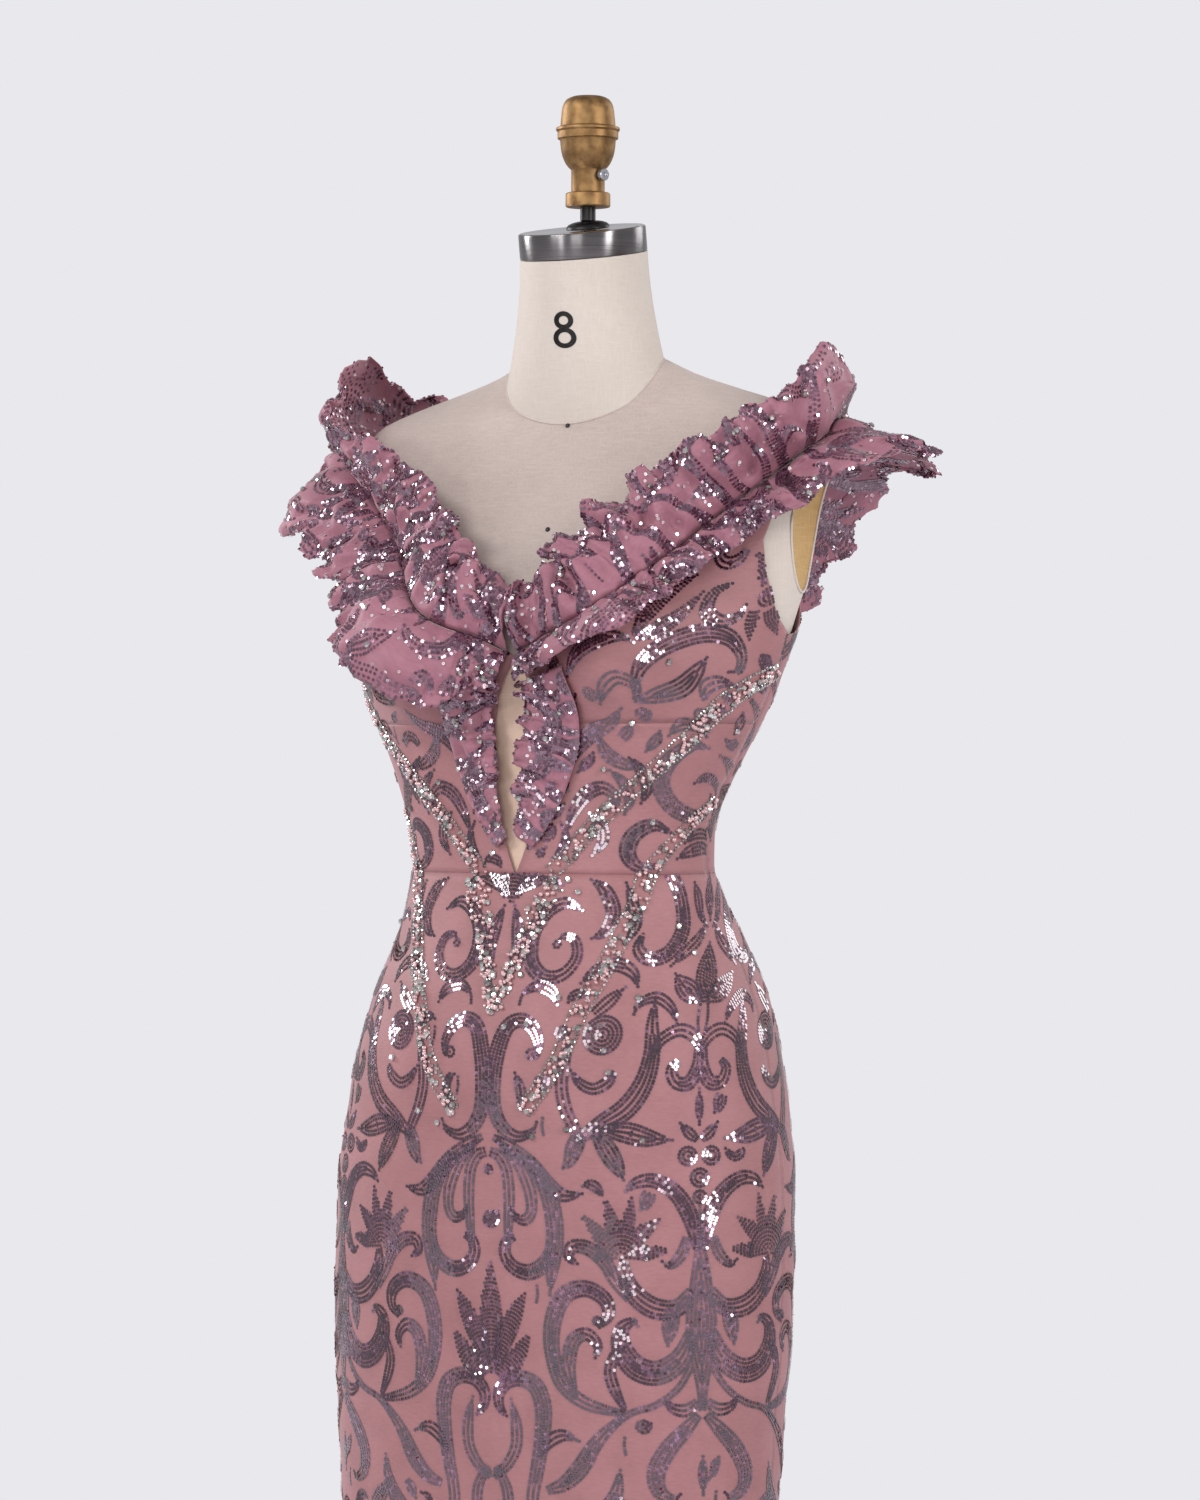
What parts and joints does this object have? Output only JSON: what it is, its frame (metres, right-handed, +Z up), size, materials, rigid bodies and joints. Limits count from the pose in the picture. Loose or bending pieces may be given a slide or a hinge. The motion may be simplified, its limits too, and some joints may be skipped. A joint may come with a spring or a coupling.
{
  "type": "evening gown on a limbless dress form",
  "caption": "Fitted floor-length sequined evening gown with a gathered ruffle collar and a front keyhole, on a limbless dress form with a stand.",
  "frame": {"origin": "centre of the base's underside, on the floor", "axes": "+Z up, the gown's front faces -Y, the form's left side is at +X"},
  "size_m": [0.5926, 0.5206, 1.681],
  "materials": {
    "sequin_cloth": "sheer dusty-rose mesh, embroidered with small purple-pink sequins",
    "ruffle_cloth": "gathered dusty-pink chiffon with sequins",
    "zip_tape": "woven nylon",
    "zip_metal": "enamelled dusty pink",
    "chest_linen": "natural linen, matt",
    "neck_linen": "pale natural linen, matt",
    "cap_steel": "brushed round the rim",
    "black_steel": "black satin",
    "finial_brass": "cast, antique satin",
    "screw_zinc": "zinc plated",
    "pole_steel": "polished",
    "base_paint": "off-white enamel"
  },
  "bodies": {
    "gown_on_form": {"skirt_front": "sequin_cloth", "skirt_back_left": "sequin_cloth", "midriff_left": "sequin_cloth", "cup_left": "sequin_cloth", "back_bodice_left": "sequin_cloth", "ruffle_inner_left": "ruffle_cloth", "ruffle_outer_left": "ruffle_cloth", "keyhole_ruffle_left": "ruffle_cloth", "skirt_back_right": "sequin_cloth", "midriff_right": "sequin_cloth", "cup_right": "sequin_cloth", "back_bodice_right": "sequin_cloth", "ruffle_inner_right": "ruffle_cloth", "ruffle_outer_right": "ruffle_cloth", "keyhole_ruffle_right": "ruffle_cloth", "zip_coil": "zip_tape", "zip_slider": "zip_metal", "form_torso": "chest_linen", "form_neck": "neck_linen", "neck_cap": "cap_steel", "cap_washer": "black_steel", "finial_rod": "black_steel", "finial": "finial_brass", "finial_screw": "screw_zinc", "form_pole": "pole_steel", "form_base": "base_paint"},
    "zip_pull": {"zip_pull": "zip_metal"}
  },
  "joints": [
    {"name": "zip_pull_swing", "type": "hinge", "parent": "gown_on_form", "child": "zip_pull", "pos_m": [0, 0.08672, 1.181], "axis": [1, 0, 0], "range_deg": [0, 150]}
  ]
}
